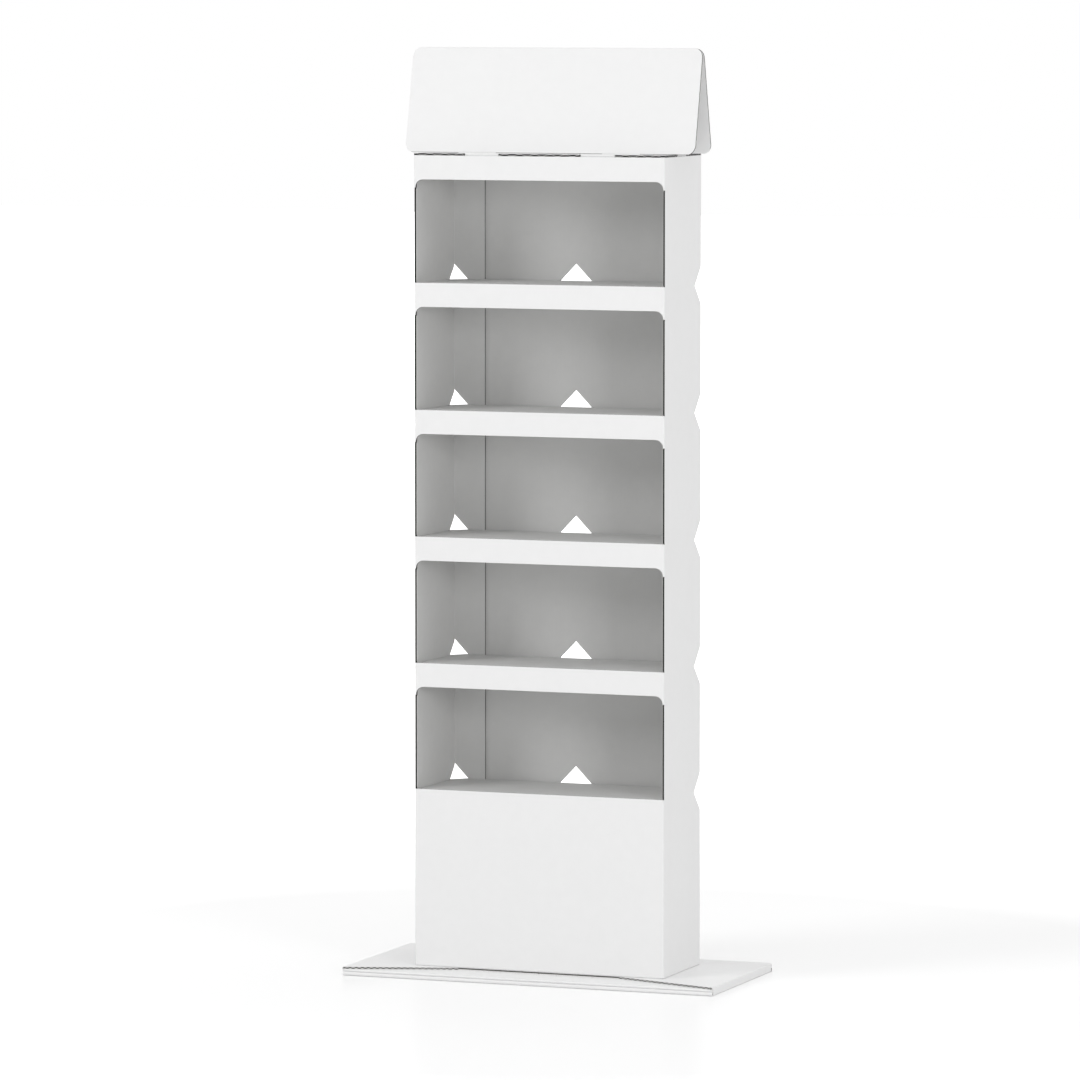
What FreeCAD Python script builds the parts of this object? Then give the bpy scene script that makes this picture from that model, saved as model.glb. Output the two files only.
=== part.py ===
import FreeCAD, Part
import math
import os

from FreeCAD import Vector

# Free-standing display column of folded corrugated board.
# It stands on Z = 0, its front faces -Y, and the origin is under the middle of the foot plate.
# All sizes are in millimetres.

# Board and folds
board = 3.3  # thickness of the corrugated board
crease_radius = 2.0  # outside radius of a right-angle fold
fit_gap = 0.3  # play between a piece and the one that it tucks into
nip = 0.1  # space left between two layers that are folded flat
relief = 1.0  # width of the cut beside the root of a turned tab or lip

# Column: one sheet folded round, with an opening for each compartment
column_width = 400.0
column_depth = 161.0
compartments = 5
plinth_height = 269.0  # closed panel under the lowest compartment
opening_height = 155.0
bar_height = 36.0  # front bar above each opening
opening_corner_radius = 12.5  # top corners only
opening_shoulder = 2.0  # board left between a rounded corner and the column's corner
bar_corner_radius = 2.5  # top corners of a bar, below the opening
edge_setback = 1.65  # how far a side panel's cut front edge lies behind the front face
glue_flap_width = 50.0  # inside the back panel, at the left
flange_width = 60.0  # turned in at the foot and glued to the foot plate
flange_slit = 3.0  # mitre cut between two flanges

# Windows: diamonds at shelf height, in the middle of the back and across both back corners
window_half_width = 28.5
window_half_height = 29.5

# Shelves: a deck with lips turned down and glued behind the bars, sides and back
shelf_drop = 0.5  # deck surface below the edge of the opening
lip_drop = 32.0  # height of a lip, with the deck
corner_cut = 5.0  # square cut out of each front corner
lip_end_gap = 4.0  # from a lip's end to the window or to the corner cut

# Top panel: lies on the column, held by tabs that tuck down behind its walls
front_tab_width = 54.0
front_tab_offset = 92.5  # middle of the column to the middle of a front or back tab
side_tab_width = 47.0
top_tab_drop = 34.0
tab_corner_radius = 8.0
panel_corner_radius = 1.5

# Header: a folded card that stands as a tent on the top panel
header_width = 463.0
header_height = 157.5  # top panel to ridge
header_half_spread = 35.0  # ridge line to the outside of a foot
header_corner_radius = 14.0
header_tab_width = 60.0
header_tab_offset = 115.0
header_tab_length = 16.0

# Foot plate: a folded tray around a doubled pad
foot_side_margin = 96.5
foot_end_margin = 54.0  # in front of the column and behind it
recess_half_width = 128.0  # straight middle of the set-back front edge
wing_joint = 1.0  # between the two top wings, under the column
flap_joint = 2.0  # between the front and back flaps, inside
pad_thickness = 3.3  # two layers of thinner board
pad_side_gap = 0.5

# Worked out from the sizes above
half_width = column_width / 2
half_depth = column_depth / 2
foot_half_width = half_width + foot_side_margin
foot_half_depth = half_depth + foot_end_margin
flap_top = 2 * board + nip
pad_top = flap_top + pad_thickness
foot_top = pad_top + board
plinth_top = foot_top + plinth_height
pitch = opening_height + bar_height
column_top = plinth_top + compartments * pitch
panel_top = column_top + board
wall_in_x = half_width - board
wall_in_y = half_depth - board
ridge_top = panel_top + header_height
over = 1.0  # how far a cutting block runs past a face

X = Vector(1, 0, 0)
Y = Vector(0, 1, 0)
Z = Vector(0, 0, 1)
ORIGIN = Vector(0, 0, 0)


def box(x0, x1, y0, y1, z0, z1):
    """Block between two corners."""
    return Part.makeBox(x1 - x0, y1 - y0, z1 - z0, Vector(x0, y0, z0))


def prism(points, sweep):
    """Straight-sided outline, swept along a vector."""
    return Part.Face(Part.makePolygon(points + points[:1])).extrude(sweep)


def swept(edges, sweep):
    """Outline of lines and arcs, swept along a vector."""
    return Part.Face(Part.Wire(edges)).extrude(sweep)


def line(a, b):
    return Part.LineSegment(a, b).toShape()


def arc(a, through, b):
    return Part.Arc(a, through, b).toShape()


def joined(first, *others):
    """One sheet made of panels and folds that meet."""
    return first.fuse(list(others)).removeSplitter()


def placed(shape, x, y, z, turn=0.0):
    """Turned about the upright axis, then moved."""
    copy = shape.copy()
    copy.rotate(ORIGIN, Z, turn)
    copy.translate(Vector(x, y, z))
    return copy


def rounded(shape, radius, chosen):
    """Rounds the edges whose middle and direction pass a test."""
    edges = [e for e in shape.Edges if chosen(e.CenterOfMass, e.tangentAt(e.FirstParameter))]
    return shape.makeFillet(radius, edges)


# Outer wrap


def wrap_block():
    """Outside of the column: folded corners at the front, the back right and all round the foot."""
    block = box(-half_width, half_width, -half_depth, half_depth, foot_top, column_top)

    def folded(middle, along):
        upright = abs(along.z) > 0.5
        raw_corner = middle.x < 0 and middle.y > 0
        at_foot = middle.z < foot_top + board
        return (upright and not raw_corner) or (at_foot and not upright)

    return rounded(block, crease_radius, folded)


def wrap_shell():
    """The four walls, the glue flap and the four flanges at the foot."""
    inside = box(-wall_in_x, wall_in_x, -wall_in_y, wall_in_y, foot_top + board, column_top + over)
    floor_hole = box(
        -wall_in_x + flange_width,
        wall_in_x - flange_width,
        -wall_in_y + flange_width,
        wall_in_y - flange_width,
        foot_top - over,
        foot_top + 2 * board,
    )
    shell = wrap_block().cut(inside).cut(floor_hole)
    glue_flap = box(
        -wall_in_x, -wall_in_x + glue_flap_width, wall_in_y - board, wall_in_y, foot_top + board, column_top
    )
    return joined(shell, glue_flap)


def flange_slits():
    """Mitre cuts between the flanges, from each inside corner towards the middle."""
    long_enough = math.sqrt(2) * flange_width + flange_slit
    slit = box(0, long_enough, -flange_slit / 2, flange_slit / 2, foot_top - over, foot_top + board)
    corners = [(1, 1, 225.0), (-1, 1, 315.0), (-1, -1, 45.0), (1, -1, 135.0)]
    return [placed(slit, sx * wall_in_x, sy * wall_in_y, 0, turn) for sx, sy, turn in corners]


def seam_groove():
    """Where the left side folds into the glue flap, beside the raw end of the back panel."""
    y = wall_in_y
    corner = box(
        -half_width, -half_width + crease_radius, y - crease_radius, y, foot_top, column_top
    )
    foot = Vector(-half_width + crease_radius, y - crease_radius, foot_top)
    fold = Part.makeCylinder(crease_radius, column_top - foot_top, foot, Z)
    return corner.cut(fold)


def round_corner(centre, radius, start):
    """Quarter circle in the plane of the front, counted from an angle in degrees."""
    turns = [math.radians(start + step) for step in (0, 45, 90)]
    return arc(*[centre + Vector(math.cos(a), 0, math.sin(a)) * radius for a in turns])


def opening_outline(bottom, y):
    """Front opening over the full width, with its top corners rounded beside a narrow shoulder.
    Below it, the bar's own corners are rounded away where its edge meets the column's corners."""
    top = bottom + opening_height
    side = half_width - opening_shoulder
    past = half_width + over
    r = opening_corner_radius
    s = bar_corner_radius
    right = [
        Vector(half_width - s, y, bottom),
        Vector(half_width, y, bottom - s),
        Vector(past, y, bottom - s),
        Vector(past, y, top - r),
        Vector(side, y, top - r),
        Vector(side - r, y, top),
    ]
    left = [Vector(-p.x, p.y, p.z) for p in right]
    edges = [round_corner(Vector(half_width - s, y, bottom - s), s, 0)]
    edges += [line(a, b) for a, b in zip(right[1:4], right[2:5])]
    edges.append(round_corner(Vector(side - r, y, top - r), r, 0))
    edges.append(line(right[-1], left[-1]))
    edges.append(round_corner(Vector(r - side, y, top - r), r, 90))
    edges += [line(b, a) for a, b in reversed(list(zip(left[1:4], left[2:5])))]
    edges.append(round_corner(Vector(s - half_width, y, bottom - s), s, 90))
    edges.append(line(left[0], right[0]))
    return edges


def opening_cut(bottom):
    """Takes the front panel away over the whole width, so that the side panels show their cut edges."""
    before_face = -half_depth - over
    outline = opening_outline(bottom, before_face)
    shallow = swept(outline, Y * (over + edge_setback))
    deep = swept(outline, Y * (over + board + over))
    between_walls = box(
        -wall_in_x, wall_in_x, before_face, -wall_in_y + over, bottom - over, bottom + opening_height + over
    )
    return shallow.fuse(deep.common(between_walls))


def diamond(x, z, sweep_from, sweep):
    """Window outline in the plane of the back panel."""
    return prism(
        [
            Vector(x - window_half_width, sweep_from, z),
            Vector(x, sweep_from, z + window_half_height),
            Vector(x + window_half_width, sweep_from, z),
            Vector(x, sweep_from, z - window_half_height),
        ],
        Y * sweep,
    )


def window_cuts(z):
    """Diamonds at one shelf: one in the back, and one folded round each back corner."""
    inside_flap = wall_in_y - board - over
    through_back = half_depth + over - inside_flap
    cuts = [diamond(x, z, inside_flap, through_back) for x in (-half_width, 0, half_width)]
    for side in (-1, 1):
        outline = [
            Vector(side * (half_width + over), half_depth - window_half_width, z),
            Vector(side * (half_width + over), half_depth, z + window_half_height),
            Vector(side * (half_width + over), half_depth, z - window_half_height),
        ]
        cuts.append(prism(outline, X * (-side * (board + 2 * over))))
    return cuts


def outer_wrap():
    cuts = flange_slits() + [seam_groove()]
    for level in range(compartments):
        edge = plinth_top + level * pitch
        cuts.append(opening_cut(edge))
        cuts += window_cuts(edge - shelf_drop - board)
    return wrap_shell().cut(cuts).removeSplitter()


# Turned edges, shared by the shelves and the top panel


def turned_edge(width, drop, corner_radius=0.0):
    """Strip folded down from a flat panel, which runs to +Y. Outside at Y = 0, top of the panel at Z = 0."""
    left = -width / 2
    fold = swept(
        [
            line(Vector(left, board, -board), Vector(left, 0, -board)),
            arc(
                Vector(left, 0, -board),
                Vector(left, board * (1 - math.sqrt(0.5)), -board * (1 - math.sqrt(0.5))),
                Vector(left, board, 0),
            ),
            line(Vector(left, board, 0), Vector(left, board, -board)),
        ],
        X * width,
    )
    strip = box(left, -left, 0, board, -drop, -board)
    if corner_radius > 0:
        strip = rounded(
            strip, corner_radius, lambda middle, along: abs(along.y) > 0.5 and middle.z < -drop / 2
        )
    return joined(fold, strip)


def edge_notch(width, depth):
    """Room cut into a flat panel's edge for a strip that is turned down there."""
    half = width / 2 + relief
    return box(-half, half, -over, depth, -board - over, over)


# Shelves


def shelf(level):
    top = plinth_top + level * pitch - shelf_drop
    reach = wall_in_x - fit_gap
    front = -wall_in_y + fit_gap
    back = wall_in_y - board - fit_gap  # clears the glue flap
    deck = box(-reach, reach, front, back, top - board, top)
    front_cut = box(
        reach - corner_cut, reach + over, front - over, front + corner_cut, top - 2 * board, top + over
    )
    cuts = [front_cut, front_cut.mirror(ORIGIN, X)]
    # back corners are cut off square to the diagonal, to leave the corner windows clear
    corner_leg = window_half_width + fit_gap
    for side in (-1, 1):
        corner = [
            Vector(side * half_width, half_depth - corner_leg, top - 2 * board),
            Vector(side * half_width, half_depth, top - 2 * board),
            Vector(side * (half_width - corner_leg), half_depth, top - 2 * board),
        ]
        cuts.append(prism(corner, Z * (3 * board)))
    window_edge = window_half_width + lip_end_gap
    side_start = front + corner_cut + lip_end_gap
    side_end = half_depth - window_edge
    side_length = side_end - side_start
    back_start = window_edge
    back_length = half_width - window_edge - back_start
    front_length = 2 * (reach - corner_cut - lip_end_gap)
    lips = [
        (0, front, 0.0, front_length),
        (reach, (side_start + side_end) / 2, 90.0, side_length),
        (-reach, (side_start + side_end) / 2, -90.0, side_length),
        (back_start + back_length / 2, back, 180.0, back_length),
        (-back_start - back_length / 2, back, 180.0, back_length),
    ]
    turned = []
    for x, y, turn, length in lips:
        cuts.append(placed(edge_notch(length, board), x, y, top, turn))
        turned.append(placed(turned_edge(length, lip_drop), x, y, top, turn))
    return joined(deck.cut(cuts), *turned)


# Header and the top panel that carries it


def header_lean():
    """Lean of a header panel. Its outside runs from the foot to the fold, one board off the fold's middle."""
    rise = header_height - board
    to_fold = math.hypot(header_half_spread, rise)
    return math.atan2(header_half_spread, rise) - math.asin(board / to_fold)


def header_section(y_sign):
    """Directions of one header panel: up its slope, and out of its face."""
    lean = header_lean()
    up = Vector(0, -y_sign * math.sin(lean), math.cos(lean))
    out = Vector(0, y_sign * math.cos(lean), math.sin(lean))
    return up, out


def header():
    left = -header_width / 2
    fold_middle = Vector(left, 0, ridge_top - board)
    sheets = []
    tangents = []
    tabs = []
    for y_sign in (-1, 1):
        up, out = header_section(y_sign)
        shoulder = fold_middle + out * board
        slope = (shoulder.z - panel_top - board * out.z) / up.z
        foot_out = shoulder - up * slope
        foot_in = foot_out - out * board
        sheets.append(prism([foot_in, foot_out, shoulder, fold_middle], X * header_width))
        tangents.append(shoulder)
        end_out = foot_out - up * header_tab_length
        end_in = foot_in - up * header_tab_length
        for x_sign in (-1, 1):
            start = X * (header_width / 2 + x_sign * header_tab_offset - header_tab_width / 2)
            corners = [p + start for p in (end_in, end_out, foot_out, foot_in)]
            tab = prism(corners, X * header_tab_width)
            tabs.append(rounded(tab, tab_corner_radius, lambda middle, along: abs(along.x) < 0.5
                                and abs(along.z) < 0.5 and middle.z < panel_top - board))
    ridge = swept(
        [
            line(fold_middle, tangents[0]),
            arc(tangents[0], Vector(left, 0, ridge_top), tangents[1]),
            line(tangents[1], fold_middle),
        ],
        X * header_width,
    )
    tent = joined(sheets[0], sheets[1], ridge)
    reach = header_half_spread + over
    outline = box(left, -left, -reach, reach, panel_top, ridge_top)
    outline = rounded(outline, header_corner_radius, lambda middle, along: abs(along.y) > 0.5)
    return joined(tent.common(outline), *tabs)


def header_slot(y_sign, x_sign):
    """Slot for one header tab, wide enough for its lean through the board."""
    lean = header_lean()
    outer = header_half_spread + board * math.tan(lean) + fit_gap
    inner = header_half_spread - board / math.cos(lean) - fit_gap
    low, high = sorted((y_sign * inner, y_sign * outer))
    half = header_tab_width / 2 + fit_gap
    x = x_sign * header_tab_offset
    return box(x - half, x + half, low, high, column_top - over, panel_top + over)


def top_panel():
    panel = box(-half_width, half_width, -half_depth, half_depth, column_top, panel_top)
    panel = rounded(panel, panel_corner_radius, lambda middle, along: abs(along.z) > 0.5)
    wall = board + fit_gap  # the tabs tuck in behind the column's walls
    spots = [(x * front_tab_offset, -half_depth, 0.0, front_tab_width) for x in (-1, 1)]
    spots += [(x * front_tab_offset, half_depth, 180.0, front_tab_width) for x in (-1, 1)]
    spots += [(half_width, 0, 90.0, side_tab_width), (-half_width, 0, -90.0, side_tab_width)]
    cuts = [header_slot(y, x) for y in (-1, 1) for x in (-1, 1)]
    tabs = []
    for x, y, turn, width in spots:
        cuts.append(placed(edge_notch(width, wall + board), x, y, panel_top, turn))
        tab = turned_edge(width, top_tab_drop, tab_corner_radius)
        tab.translate(Y * wall)
        tabs.append(placed(tab, x, y, panel_top, turn))
    return joined(panel.cut(cuts), *tabs)


# Foot plate


def tray_tube():
    """Bottom, side edges and top wings of the tray: one sheet folded round, with a joint on top."""
    tube = box(-foot_half_width, foot_half_width, -foot_half_depth, foot_half_depth, 0, foot_top)
    tube = rounded(
        tube, crease_radius, lambda middle, along: abs(along.y) > 0.5
    )
    hollow = box(
        -foot_half_width + board,
        foot_half_width - board,
        -foot_half_depth - over,
        foot_half_depth + over,
        board,
        foot_top - board,
    )
    joint = box(
        -wing_joint / 2,
        wing_joint / 2,
        -foot_half_depth - over,
        foot_half_depth + over,
        foot_top - 2 * board,
        foot_top + over,
    )
    return tube.cut([hollow, joint])


def wing_recess():
    """Front edge of the wings: it slants back from the corners to the front of the column."""
    z = foot_top - board
    beyond = over * foot_end_margin / (foot_half_width - recess_half_width)
    outline = [
        Vector(-foot_half_width - over, -foot_half_depth - beyond, z),
        Vector(-recess_half_width, -half_depth, z),
        Vector(recess_half_width, -half_depth, z),
        Vector(foot_half_width + over, -foot_half_depth - beyond, z),
        Vector(foot_half_width + over, -foot_half_depth - 2 * over, z),
        Vector(-foot_half_width - over, -foot_half_depth - 2 * over, z),
    ]
    return prism(outline, Z * (board + over))


def rolled_edge(half_length, low, thickness, run):
    """Doubled sheet that runs to +Y from a fold at Y = 0: two equal layers with a nip between them."""
    radius = thickness / 2
    start = Vector(-half_length, 0, 0)

    def at(y, z):
        return start + Vector(0, y, low + z)

    nose = swept(
        [
            line(at(radius, 0), at(run, 0)),
            line(at(run, 0), at(run, thickness)),
            line(at(run, thickness), at(radius, thickness)),
            arc(at(radius, thickness), at(0, radius), at(radius, 0)),
        ],
        X * (2 * half_length),
    )
    middle = low + radius
    gap = box(
        -half_length - over, half_length + over, radius, run + over, middle - nip / 2, middle + nip / 2
    )
    return nose.cut(gap)


def base_tray():
    inner_half = foot_half_width - board - pad_side_gap
    edge = box(
        -inner_half, inner_half, -foot_half_depth - over, -foot_half_depth + board + nip, -over, board
    )
    flap_run = foot_half_depth - flap_joint / 2
    front = placed(rolled_edge(inner_half, 0, flap_top, flap_run), 0, -foot_half_depth, 0)
    back = placed(front, 0, 0, 0, 180.0)
    tray = tray_tube().cut([wing_recess(), edge, placed(edge, 0, 0, 0, 180.0)])
    return joined(tray, front, back)


def base_pad():
    inner_half = foot_half_width - board - pad_side_gap
    pad = rolled_edge(inner_half, flap_top, pad_thickness, 2 * foot_half_depth)
    return placed(pad, 0, -foot_half_depth, 0)


def main():
    os.makedirs("parts", exist_ok=True)
    pieces = {
        "outer_wrap": outer_wrap(),
        "top_panel": top_panel(),
        "header": header(),
        "base_tray": base_tray(),
        "base_pad": base_pad(),
    }
    for level in range(compartments):
        pieces[f"shelf_{level + 1}"] = shelf(level)
    for name, shape in pieces.items():
        solid = shape.Solids[0] if len(shape.Solids) == 1 else shape
        solid.exportStep(f"parts/{name}.step")
        print(name, len(shape.Solids), "solid", shape.isValid(), round(shape.Volume / 1000, 1), "cm3")


main()
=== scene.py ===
import math

import bmesh
import bpy
import numpy as np
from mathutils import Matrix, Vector
from mathutils.geometry import delaunay_2d_cdt


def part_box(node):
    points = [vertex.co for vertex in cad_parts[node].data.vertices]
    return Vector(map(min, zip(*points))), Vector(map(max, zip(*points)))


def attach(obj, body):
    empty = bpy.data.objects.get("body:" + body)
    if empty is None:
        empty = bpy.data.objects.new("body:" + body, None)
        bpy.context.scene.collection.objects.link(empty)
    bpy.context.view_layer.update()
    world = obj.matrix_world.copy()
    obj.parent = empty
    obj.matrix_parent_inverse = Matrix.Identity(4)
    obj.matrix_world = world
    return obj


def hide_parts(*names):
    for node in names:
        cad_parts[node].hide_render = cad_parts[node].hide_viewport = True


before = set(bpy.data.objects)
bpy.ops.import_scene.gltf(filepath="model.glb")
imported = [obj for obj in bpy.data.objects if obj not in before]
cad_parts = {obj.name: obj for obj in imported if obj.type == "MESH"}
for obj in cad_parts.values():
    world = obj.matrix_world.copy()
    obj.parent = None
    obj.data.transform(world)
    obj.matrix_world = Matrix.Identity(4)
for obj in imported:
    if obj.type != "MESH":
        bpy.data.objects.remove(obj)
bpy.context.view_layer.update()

# Display stand of white-lined corrugated board.
# Every sheet is laid out flat as its die-cut blank, in millimetres, and then folded into place.

MM = 0.001  # metres in a millimetre

# Board
board = 3.3  # thickness of the corrugated board
liner = 0.35  # thickness of each of its two facing papers
fluting = 0.25  # thickness of the wavy paper between them
flute_pitch = 6.5  # one wave of the fluting
wave_steps = 12  # straight pieces that draw one wave
wave_flatness = 1.6  # 0 is a sine; more gives flatter crests and steeper flanks
glue_bite = 0.02  # how far the fluting sinks into the facing papers
sway_steps = 8  # straight pieces that draw one sway of the flutes along their length
corner_clearance = 0.02  # how far a wave line stays from a corner of the blank
crease_radius = 2.0  # outside radius of a fold of the column
turned_radius = 3.3  # outside radius of a folded lip or tab
fold_steps = 8  # straight pieces that draw one fold
fold_ease = 0.3  # board bent on each side of a fold, beyond its thickness
bend_steps = 6  # straight pieces that draw half a fold turned back on itself
bend_squeeze = 0.98  # share of the board's depth kept inside such a fold, so that it stays open a hair
arc_steps = 8  # straight pieces that draw one rounded corner
snap = 0.001  # how closely a point is matched to a line of the blank
merge_distance = 1e-4  # points of the blank nearer than this become one
smallest_tile = 1e-6  # doubled area under which a triangle is dropped
smooth_angle = 40.0  # edges sharper than this, in degrees, are drawn sharp


def size_of(node):
    """Lowest and highest corners of a construction piece, in millimetres."""
    low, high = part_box(node)
    return low / MM, high / MM


wrap_low, wrap_high = size_of("outer_wrap")
panel_high = size_of("top_panel")[1]
header_high = size_of("header")[1]
tray_high = size_of("base_tray")[1]

half_width = wrap_high.x
half_depth = wrap_high.y
foot_top = wrap_low.z
column_top = wrap_high.z
panel_top = panel_high.z
ridge_top = header_high.z

# Column
compartments = 5
plinth_height = 269.0
opening_height = 155.0
bar_height = 36.0
opening_corner_radius = 12.5
opening_shoulder = 2.0  # board left beside a rounded corner
bar_corner_radius = 2.5  # where a bar's top edge meets the column's corner
edge_setback = 1.65  # how far a side's cut front edge lies behind the front
glue_flap_width = 50.0
flange_width = 60.0
flange_mitre = 2.1
window_half_width = 28.5
window_half_height = 29.5
window_drop = 3.8  # edge of an opening to the middle of the windows, at the underside of the shelf
uncrease = 3.0  # height over which a crease dies out beside an opening
uncrease_steps = 3  # straight pieces that draw this

pitch = opening_height + bar_height
plinth_top = foot_top + plinth_height
levels = [plinth_top + n * pitch for n in range(compartments)]


# Flat blanks


def arc(centre, radius, start, end):
    """Points of a rounded corner, from one angle to another, in degrees."""
    turn = [math.radians(start + (end - start) * k / arc_steps) for k in range(arc_steps + 1)]
    return [(centre[0] + radius * math.cos(a), centre[1] + radius * math.sin(a)) for a in turn]


def inside(loops, points):
    """Even-odd test: which points lie on the board."""
    found = np.zeros(len(points), bool)
    x, y = points[:, 0], points[:, 1]
    for loop in loops:
        ends = loop[1:] + loop[:1]
        for (x0, y0), (x1, y1) in zip(loop, ends):
            if y0 == y1:
                continue
            crosses = (y0 > y) != (y1 > y)
            found ^= crosses & (x < x0 + (y - y0) / (y1 - y0) * (x1 - x0))
    return found


def tiles(loops, lines):
    """Cuts a blank into triangles that follow its outline and the given lines."""
    points = [p for loop in loops for p in loop]
    edges = []
    start = 0
    for loop in loops:
        count = len(loop)
        edges += [(start + k, start + (k + 1) % count) for k in range(count)]
        start += count
    for a, b in lines:
        edges.append((len(points), len(points) + 1))
        points += [a, b]
    flat, _, faces, _, _, _ = delaunay_2d_cdt([Vector(p) for p in points], edges, [], 0, merge_distance)
    flat = np.array([tuple(p) for p in flat])
    faces = np.array([tuple(f) for f in faces])
    a, b, c = (flat[faces[:, k]] for k in range(3))
    area = (b[:, 0] - a[:, 0]) * (c[:, 1] - a[:, 1]) - (b[:, 1] - a[:, 1]) * (c[:, 0] - a[:, 0])
    faces = faces[inside(loops, (a + b + c) / 3) & (np.abs(area) > smallest_tile)]
    return flat, faces


class Mesh:
    """Collects the closed layers of one sheet."""

    def __init__(self):
        self.points = []
        self.faces = []
        self.finish = []

    def layer(self, flat, faces, place, outer, inner, outer_finish, inner_finish, edge_finish):
        """One closed layer of paper between two depths below the outer face."""
        used = sorted(set(faces.ravel().tolist()))
        index = {v: k for k, v in enumerate(used)}
        base = len(self.points)
        count = len(used)
        self.points += [place(flat[v][0], flat[v][1], outer(*flat[v])) for v in used]
        self.points += [place(flat[v][0], flat[v][1], inner(*flat[v])) for v in used]
        rim = {}
        for triangle in faces:
            a, b, c = (index[v] for v in triangle)
            self.faces.append((base + a, base + b, base + c))
            self.finish.append(outer_finish)
            self.faces.append((base + count + c, base + count + b, base + count + a))
            self.finish.append(inner_finish)
            for p, q in ((a, b), (b, c), (c, a)):
                if (q, p) in rim:
                    del rim[(q, p)]
                else:
                    rim[(p, q)] = True
        for p, q in rim:
            self.faces.append((base + q, base + p, base + count + p, base + count + q))
            self.finish.append(edge_finish)

    def piece(self, name, node, finishes):
        """Makes the object that stands for a construction piece."""
        mesh = bpy.data.meshes.new(name)
        mesh.from_pydata([tuple(v * MM for v in p) for p in self.points], [], self.faces)
        for finish in finishes:
            mesh.materials.append(finish)
        mesh.polygons.foreach_set("material_index", self.finish)
        mesh.polygons.foreach_set("use_smooth", [True] * len(self.faces))
        mesh.update()
        made = bpy.data.objects.new(name, mesh)
        bpy.context.scene.collection.objects.link(made)
        turn_outwards(made)
        made.data.set_sharp_from_angle(angle=math.radians(smooth_angle))
        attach(made, "root")
        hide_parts(node)
        return made


def turn_outwards(made):
    """Makes every face of the closed layers look outwards."""
    work = bmesh.new()
    work.from_mesh(made.data)
    bmesh.ops.recalc_face_normals(work, faces=work.faces)
    work.to_mesh(made.data)
    work.free()


# CORE is the fluting's finish, darkened to paint the shade inside the flute channels; the facing papers'
# glue sides carry it too, while a fluting edge given CUT keeps the light paper colour.
OUTSIDE, INSIDE, CORE, CUT = range(4)


def corrugated(mesh, loops, creases, place, waves="u", pitch_mm=flute_pitch, steps=wave_steps, phase=0.0,
               wander=None, paper=fluting, liner_edge=CUT, flute_edge=CORE, outer_finish=OUTSIDE,
               inner_finish=INSIDE):
    """Two facing papers with a wavy paper between them, all cut to the same blank.
    The waves follow each other along u or v. Wander is how far, in radians, and over what length they
    sway."""
    flat, faces = tiles(loops, creases)
    # The glue sides of the facing papers and the fluting take CORE: painted shade of the flute channels.
    mesh.layer(flat, faces, place, lambda u, v: 0.0, lambda u, v: liner, outer_finish, CORE,
               liner_edge)
    mesh.layer(flat, faces, place, lambda u, v: board - liner, lambda u, v: board, CORE, inner_finish,
               liner_edge)
    us = [p[0] for loop in loops for p in loop]
    vs = [p[1] for loop in loops for p in loop]
    low, high = ((min(us), min(vs)), (max(us), max(vs)))
    axis = 0 if waves == "u" else 1
    other = 1 - axis
    step = pitch_mm / steps
    corners = sorted({round(p[axis], 3) for loop in loops for p in loop})
    crests = []
    for k in range(int(low[axis] / step) - 1, int(high[axis] / step) + 2):
        at = k * step
        if low[axis] < at < high[axis] and min(abs(at - c) for c in corners) > corner_clearance:
            ends = [[0.0, 0.0], [0.0, 0.0]]
            ends[0][axis] = ends[1][axis] = at
            ends[0][other] = low[other] - 1.0
            ends[1][other] = high[other] + 1.0
            crests.append((tuple(ends[0]), tuple(ends[1])))
    sway = []
    if wander:
        count = int((high[other] - low[other]) / (wander[1] / sway_steps))
        for k in range(1, count):
            at = low[other] + k * wander[1] / sway_steps
            ends = [[0.0, 0.0], [0.0, 0.0]]
            ends[0][other] = ends[1][other] = at
            ends[0][axis] = low[axis] - 1.0
            ends[1][axis] = high[axis] + 1.0
            sway.append((tuple(ends[0]), tuple(ends[1])))
    flat, faces = tiles(loops, creases + crests + sway)
    swing = (board - 2 * liner - paper) / 2 + glue_bite

    def middle(u, v):
        along, across = (u, v) if waves == "u" else (v, u)
        turn = 2 * math.pi * along / pitch_mm + phase
        if wander:
            turn += wander[0] * math.sin(2 * math.pi * across / wander[1])
        wave = math.tanh(wave_flatness * math.sin(turn)) / math.tanh(wave_flatness)
        return board / 2 + swing * wave

    mesh.layer(
        flat,
        faces,
        place,
        lambda u, v: middle(u, v) - paper / 2,
        lambda u, v: middle(u, v) + paper / 2,
        CORE,
        CORE,
        flute_edge,
    )


# Folds


def fold_reach():
    """How far each side of a fold line the board is bent."""
    return board + fold_ease


def turned(distance, depth, radius):
    """Right-angle fold towards the inner face. Gives how far forward and how far below the outer face."""
    reach = fold_reach()
    if distance <= -reach:
        return distance, depth
    if distance >= reach:
        return -depth, distance
    t = (distance + reach) / (2 * reach)
    run = reach - radius
    bend = radius * math.pi / 2
    along = t * (2 * run + bend)
    if along < run:
        outer = (-reach + along, 0.0)
    elif along < run + bend:
        angle = (along - run) / radius
        outer = (-radius + radius * math.sin(angle), radius - radius * math.cos(angle))
    else:
        outer = (0.0, radius + along - run - bend)
    angle = t * math.pi / 2
    inner_radius = reach - board
    inner = (-reach + inner_radius * math.sin(angle), reach - inner_radius * math.cos(angle))
    share = depth / board
    return tuple(o + (i - o) * share for o, i in zip(outer, inner))


def fold_offsets():
    """Distances from the fold line at which the board may bend."""
    reach = fold_reach()
    return [-reach + 2 * reach * k / fold_steps for k in range(fold_steps + 1)]


def across_u(at, low, high):
    """Lines along v that let the board bend at u = at."""
    return [((at + d, low), (at + d, high)) for d in fold_offsets()]


def across_v(at, low, high):
    """Lines along u that let the board bend at v = at."""
    return [((low, at + d), (high, at + d)) for d in fold_offsets()]


# Outer wrap
# u runs from the end of the glue flap round the left side, front, right side and back; v is the height.

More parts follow.
